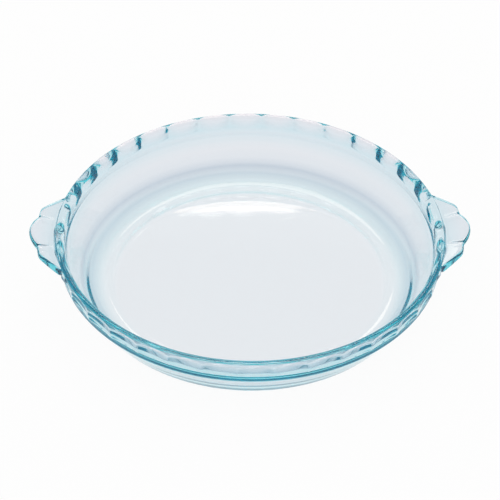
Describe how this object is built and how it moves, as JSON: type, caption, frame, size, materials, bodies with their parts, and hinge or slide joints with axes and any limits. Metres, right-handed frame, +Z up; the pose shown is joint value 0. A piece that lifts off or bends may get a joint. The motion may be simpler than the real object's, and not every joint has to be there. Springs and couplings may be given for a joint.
{
  "type": "pie dish",
  "caption": "Round clear-glass pie dish with a flared wall, a fluted rim band, a low foot ring and two lobed handles that rise outwards.",
  "frame": {"origin": "centre of the foot ring, on the surface that the dish stands on", "axes": "+X towards one handle, +Z up out of the dish's mouth"},
  "size_m": [0.26, 0.2296, 0.0413],
  "materials": {
    "clear_glass": "clear, glossy pressed glass with a faint blue-green tint"
  },
  "bodies": {
    "root": {"dish": "clear_glass"}
  },
  "joints": []
}
